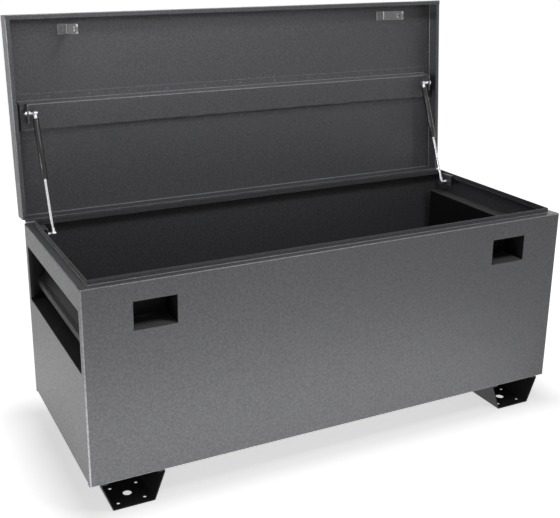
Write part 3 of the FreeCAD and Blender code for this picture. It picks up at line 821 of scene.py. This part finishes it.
def stiffener_spots(frame, finishes):
    """Two rows along the stiffener's flanges."""
    low, high = closed_box(frame, "lid_stiffener")
    places = [(step * STIFFENER_PITCH, y, high.z - SHEET)
              for y in (low.y + FLANGE_SPOT, high.y - FLANGE_SPOT)
              for step in range(-STIFFENER_STEPS, STIFFENER_STEPS + 1)]
    lid_spots(frame, "stiffener_spot_welds", places, DOWN, finishes)


def lid_end_spots(frame, finishes):
    """A row on the return lip of each end skirt."""
    places = []
    for side in SIDES:
        low, high = box = closed_box(frame, side + "_lid_end")
        x = inner_x(side, box) + outward(side)[0] * LID_END_SPOT
        places += [(x, y, high.z - SHEET) for y in evenly(low.y, high.y, END_PITCH)]
    lid_spots(frame, "lid_end_spot_welds", places, DOWN, finishes)


def lid_leaf_spots(frame, finishes):
    """A row along the upper hinge leaf."""
    low, high = closed_box(frame, "hinge_lid_leaf")
    face_y = closed_box(frame, "lid_top")[1].y + LEAF
    places = [(x, face_y, high.z - FLANGE_SPOT) for x in evenly(low.x, high.x, LEAF_PITCH)]
    lid_spots(frame, "lid_leaf_spot_welds", places, BACK, finishes)


def lid_bracket_spots(frame, finishes):
    """Two on the foot of each strut bracket."""
    places = []
    for side in SIDES:
        low, high = box = closed_box(frame, side + "_lid_bracket")
        x = inner_x(side, box) + outward(side)[0] * BRACKET_SPOT
        places += [(x, (low.y + high.y) / 2 + along, high.z - PLATE)
                   for along in (-BRACKET_SPOT_HALF_PITCH, BRACKET_SPOT_HALF_PITCH)]
    lid_spots(frame, "lid_bracket_spot_welds", places, DOWN, finishes)


def pan_spots(finishes):
    """A short row on the rear wall beside each handle pan."""
    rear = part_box("rear_panel")
    spots = []
    for side in SIDES:
        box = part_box(side + "_handle_pan")
        x = inner_x(side, box) + outward(side)[0] * PAN_SPOT
        spots += [((x, rear[1].y - SHEET, box[1].z - PAN_SPOT - step * PAN_PITCH), FRONT)
                  for step in range(PAN_SPOTS)]
    spot_welds("pan_spot_welds", "chest", spots, finishes)


def lap_spots(finishes):
    """Rows up the laps of the end walls behind the front and rear walls."""
    front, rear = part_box("front_panel"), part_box("rear_panel")
    spots = []
    for side in SIDES:
        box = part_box(side + "_end_panel")
        x = outer_x(side, box) - outward(side)[0] * LAP_SPOT
        for z in evenly(box[0].z, front[1].z - LAP_SPOT, LAP_PITCH):
            spots.append(((x, front[0].y + 2 * SHEET, z), BACK))
            spots.append(((x, rear[1].y - 2 * SHEET, z), FRONT))
    spot_welds("lap_spot_welds", "chest", spots, finishes)


def end_foot_spots(finishes):
    """A row where each end wall stands on the floor."""
    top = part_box("floor_panel")[1].z + SHEET
    spots = []
    for side in SIDES:
        low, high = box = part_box(side + "_end_panel")
        x = outer_x(side, box) - outward(side)[0] * LAP_SPOT
        spots += [((x, y, top), UP) for y in evenly(low.y, high.y, END_PITCH)]
    spot_welds("end_foot_spot_welds", "chest", spots, finishes)


def floor_spots(finishes):
    """Rows under the floor, on the returns of the front and rear walls between the skids."""
    front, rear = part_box("front_panel"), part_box("rear_panel")
    skid_low, skid_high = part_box("right_skid")
    spots = []
    for x in evenly(front[0].x, front[1].x, LEAF_PITCH):
        if not skid_low.x < abs(x) < skid_high.x:
            spots.append(((x, front[0].y + LAP_SPOT, front[0].z), DOWN))
            spots.append(((x, rear[1].y - LAP_SPOT, rear[0].z), DOWN))
    spot_welds("floor_spot_welds", "chest", spots, finishes)


def lock_box_spots(finishes):
    """Spots round the flange of each lock box."""
    face_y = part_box("front_panel")[0].y + 2 * SHEET
    spots = []
    for side in SIDES:
        low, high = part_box(side + "_lock_box")
        spots += [((x, face_y, z), BACK) for x in (low.x + BOX_SPOT, high.x - BOX_SPOT)
                  for z in evenly(low.z, high.z, BOX_PITCH)]
        spots += [((x, face_y, low.z + BOX_SPOT), BACK)
                  for x in evenly(low.x + BOX_PITCH, high.x - BOX_PITCH, BOX_PITCH)]
    spot_welds("lock_box_spot_welds", "chest", spots, finishes)


def body_leaf_spots(finishes):
    """A row along the lower hinge leaf."""
    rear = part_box("rear_panel")
    low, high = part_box("hinge_body_leaf")
    spots = [((x, rear[1].y + LEAF, low.z + FLANGE_SPOT), BACK)
             for x in evenly(low.x, high.x, LEAF_PITCH)]
    spot_welds("body_leaf_spot_welds", "chest", spots, finishes)


# Weld beads

def beads(name, body, runs, slot, finishes):
    """Small rippled weld beads, one for each (start, end)."""
    data = round_curve(name, BEAD_RADIUS, BEAD_RESOLUTION)
    draw = random.Random(name)
    for start, end in runs:
        start, end = Vector(start), Vector(end)
        count = max(3, math.ceil((end - start).length / BEAD_STEP))
        points = add_line(data, [start.lerp(end, index / count) for index in range(count + 1)])
        for index, point in enumerate(points):
            point.radius = BEAD_RIPPLE[index % 2] + draw.uniform(-BEAD_UNEVEN, BEAD_UNEVEN)
    add_piece(name, data, slot, body, finishes)


def lid_beads(frame, finishes):
    """Beads at the feet of the lid's strut brackets and round the lugs' flanges."""
    runs = []
    for side in SIDES:
        low, high = box = closed_box(frame, side + "_lid_bracket")
        x = outer_x(side, box)
        runs.append(((x, low.y + BEAD_MARGIN, high.z), (x, high.y - BEAD_MARGIN, high.z)))
        low, high = closed_box(frame, side + "_lock_lug")
        runs += [((low.x, y, high.z), (low.x + LUG_BEAD, y, high.z)) for y in (low.y, high.y)]
        runs.append(((low.x, low.y, high.z), (low.x, high.y, high.z)))
    swing = lid_swing(frame)
    carried = [(swing @ Vector(start), swing @ Vector(end)) for start, end in runs]
    beads("lid_weld_beads", "lid", carried, "powder_coat", finishes)


def corner_runs(side):
    """Runs up the corners of the upstand."""
    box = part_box(side + "_end_panel")
    x, top = inner_x(side, box), box[1].z
    corners = (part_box("front_panel")[0].y + RIM_FRONT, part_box("rear_panel")[1].y - RIM_REAR)
    return [((x, y, top - UPSTAND), (x, y, top - BEAD_RADIUS)) for y in corners]


def foot_bracket_runs(side):
    """The run along a foot bracket's fold."""
    low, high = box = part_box(side + "_foot_bracket")
    x, z = outer_x(side, box), high.z - PLATE
    return [((x, low.y + BEAD_MARGIN, z), (x, high.y - BEAD_MARGIN, z))]


def handle_bar_runs(side):
    """Runs at both ends of a handle bar's lip."""
    low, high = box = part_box(side + "_handle_bar")
    x = outer_x(side, box) - outward(side)[0] * BEAD_RADIUS
    return [((x, y, low.z + BEAD_RADIUS), (x, y, low.z + BAR_LIP)) for y in (low.y, high.y)]


def skid_runs(side):
    """Stitches along both top edges of a skid."""
    low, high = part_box(side + "_skid")
    z = high.z - BEAD_RADIUS
    return [((x, y - STITCH_HALF, z), (x, y + STITCH_HALF, z))
            for x in (low.x + BEAD_RADIUS, high.x - BEAD_RADIUS)
            for y in evenly(low.y, high.y, STITCH_PITCH)]


def body_beads(finishes):
    """Beads at the upstand corners, strut brackets, handle bars and skids."""
    coated, black = [], []
    for side in SIDES:
        coated += corner_runs(side) + foot_bracket_runs(side) + handle_bar_runs(side)
        black += skid_runs(side)
    beads("body_weld_beads", "chest", coated, "powder_coat", finishes)
    beads("skid_weld_beads", "chest", black, "skid_coat", finishes)


def weld_details(frame, finishes):
    """All weld marks and beads of the lid and the body."""
    stiffener_spots(frame, finishes)
    lid_end_spots(frame, finishes)
    lid_leaf_spots(frame, finishes)
    lid_bracket_spots(frame, finishes)
    lid_beads(frame, finishes)
    pan_spots(finishes)
    lap_spots(finishes)
    end_foot_spots(finishes)
    floor_spots(finishes)
    lock_box_spots(finishes)
    body_leaf_spots(finishes)
    body_beads(finishes)


def pin_heads(finishes):
    """The peened ends of the hinge pin."""
    low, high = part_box("hinge_pin")
    radius = PIN_HEAD_REACH * (high.z - low.z) / 2
    section = [(-PIN_HEAD_SINK, radius)]
    for step in range(PIN_HEAD_STEPS):
        angle = math.pi / 2 * step / PIN_HEAD_STEPS
        section.append((PIN_HEAD_RISE * math.sin(angle), radius * math.cos(angle)))
    bm = bmesh.new()
    for side in SIDES:
        turned(bm, end_place("hinge_pin", side, outer=True), section)
    make_piece("hinge_pin_heads", bm, "zinc_steel", "chest", finishes)


# Room

def seen_rays(tree):
    """One for rays from the camera, reflections and glass; nought for light on the object."""
    rays = add_node(tree, "ShaderNodeLightPath").outputs
    seen = combined(tree, "MAXIMUM", rays["Is Camera Ray"], rays["Is Glossy Ray"])
    return combined(tree, "MAXIMUM", seen, rays["Is Transmission Ray"])


def distance_outside(tree, box):
    """How far a point of the floor lies outside a box, seen from above."""
    low, high = box
    place = add_node(tree, "ShaderNodeTexCoord")
    centred = vector_step(tree, "SUBTRACT", place.outputs["Object"],
                          (*((low + high) / 2).xy, 0.0))
    size = vector_step(tree, "ABSOLUTE", centred)
    past = vector_step(tree, "SUBTRACT", size, (*((high - low) / 2).xy, 0.0))
    reach = add_node(tree, "ShaderNodeVectorMath", operation="LENGTH")
    tree.links.new(vector_step(tree, "MAXIMUM", past), reach.inputs[0])
    return reach.outputs["Value"]


def floor_coat():
    """Pale and matt, with a painted shadow of lower glow near and under the chest, and it turns
    white away from the chest for what the camera sees.
    """
    material = bpy.data.materials.new("floor")
    material.use_nodes = True
    tree = material.node_tree
    tree.nodes.remove(tree.nodes["Principled BSDF"])
    diffuse = add_node(tree, "ShaderNodeBsdfDiffuse")
    diffuse.inputs["Color"].default_value = FLOOR_COLOUR
    glow = add_node(tree, "ShaderNodeEmission")
    chest = (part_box("front_panel")[0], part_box("rear_panel")[1])
    # painted shadow: the glow that the camera sees drops near and under the chest
    level = ramp(tree, distance_outside(tree, chest), PAINTED_SHADOW_FADE, FLOOR_GLOW_WITH_PAINTED_SHADOW)
    strength = combined(tree, "MULTIPLY", seen_rays(tree), level)
    tree.links.new(strength, glow.inputs["Strength"])
    both = add_node(tree, "ShaderNodeAddShader")
    tree.links.new(diffuse.outputs[0], both.inputs[0])
    tree.links.new(glow.outputs[0], both.inputs[1])
    tree.links.new(both.outputs[0], tree.nodes["Material Output"].inputs["Surface"])
    return material


def make_floor():
    """A plain pale floor that keeps the chest's shadow, with a painted shadow added near the
    chest.
    """
    mesh = bpy.data.meshes.new("floor")
    corners = [(x * FLOOR_HALF, y * FLOOR_HALF, -FLOOR_DROP)
               for x, y in ((-1, -1), (1, -1), (1, 1), (-1, 1))]
    mesh.from_pydata(corners, [], [(0, 1, 2, 3)])
    mesh.materials.append(floor_coat())
    floor = bpy.data.objects.new("floor", mesh)
    bpy.context.scene.collection.objects.link(floor)


def make_world():
    """White to look at and in reflections, and a faint even light otherwise."""
    world = bpy.data.worlds.new("world")
    bpy.context.scene.world = world
    world.use_nodes = True
    tree = world.node_tree
    back = tree.nodes["Background"]
    back.inputs["Color"].default_value = WHITE
    level = ramp(tree, seen_rays(tree), (0.0, 1.0), (WORLD_LIGHT, 1.0))
    tree.links.new(level, back.inputs["Strength"])


def lamp(name, place, target, size, power, spread_angle=FULL_SPREAD):
    """A soft rectangular lamp that the camera doesn't see, with a beam of some degrees."""
    light = bpy.data.lights.new(name, "AREA")
    light.shape = "RECTANGLE"
    light.size, light.size_y = size
    light.energy = power
    light.spread = math.radians(spread_angle)
    thing = bpy.data.objects.new(name, light)
    bpy.context.scene.collection.objects.link(thing)
    thing.location = place
    aim = Vector(target) - Vector(place)
    thing.rotation_euler = aim.to_track_quat("-Z", "Y").to_euler()
    thing.visible_camera = False


def bounce(name, place, size, power):
    """A lamp on the floor that shines up, as light does off a pale floor."""
    x, y, _ = place
    lamp(name, place, target=(x, y - BOUNCE_LEAN, 1.0), size=size, power=power)


def make_lamps():
    """Soft lamps round the chest: low strips before it, a near and a high lamp and side fills."""
    lamp("front_strip", place=(-0.55, -1.35, 0.22), target=(-0.3, -0.37, 0.25),
         size=(1.6, 0.35), power=0.6)
    lamp("near_strip", place=(-0.55, -0.95, 0.10), target=(-0.4, -0.37, 0.25),
         size=(1.5, 0.15), power=0.8)
    lamp("foot_strip", place=(-0.4, -0.75, 0.08), target=(-0.4, -0.37, 0.12),
         size=(2.4, 0.12), power=1.6)
    bounce("floor_bounce", place=(-0.4, -0.60, 0.02), size=(2.3, 0.44), power=1.3)
    bounce("side_bounce", place=(-1.1, -0.06, 0.02), size=(0.6, 1.5), power=0.85)
    lamp("left_box", place=(-2.5, -0.9, 0.7), target=(-0.4, 0.0, 0.5),
         size=(1.2, 1.3), power=0.3)
    lamp("left_beam", place=(-3.2, -0.5, 1.35), target=(0.0, 0.25, 1.35),
         size=(0.5, 0.5), power=0.75, spread_angle=25.0)
    lamp("near_top", place=(-0.30, -0.70, 1.60), target=(0.0, 0.35, 0.9),
         size=(0.8, 0.3), power=2.1)
    lamp("high_right", place=(0.6, -1.75, 3.2), target=(0.0, 0.35, 0.9),
         size=(0.5, 0.5), power=10.0)
    lamp("right_side", place=(2.5, 0.9, 1.0), target=(0.3, 0.2, 0.6),
         size=(1.2, 1.2), power=3.0)
    lamp("back", place=(0.4, 2.7, 1.5), target=(0.0, 0.2, 0.6),
         size=(1.8, 1.3), power=14.0)


def make_camera():
    """The photograph's camera."""
    data = bpy.data.cameras.new("camera")
    data.sensor_width = SENSOR_MM
    data.lens = FOCAL_PX / FRAME_WIDTH * SENSOR_MM
    data.shift_x = (FRAME_WIDTH / 2 - AXIS_PX[0]) / FRAME_WIDTH
    data.shift_y = (AXIS_PX[1] - FRAME_HEIGHT / 2) / FRAME_WIDTH
    camera = bpy.data.objects.new("camera", data)
    bpy.context.scene.collection.objects.link(camera)
    camera.location = CAMERA_PLACE
    camera.rotation_euler = (math.radians(90 - CAMERA_DIP), math.radians(CAMERA_ROLL),
                             math.radians(-CAMERA_TURN))
    bpy.context.scene.camera = camera


def main():
    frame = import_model()
    finishes = make_materials()
    dress_nodes(frame, finishes)
    strut_details(finishes)
    weld_details(frame, finishes)
    pin_heads(finishes)
    make_floor()
    make_world()
    make_lamps()
    make_camera()
    bpy.context.scene.view_settings.view_transform = "Standard"


main()
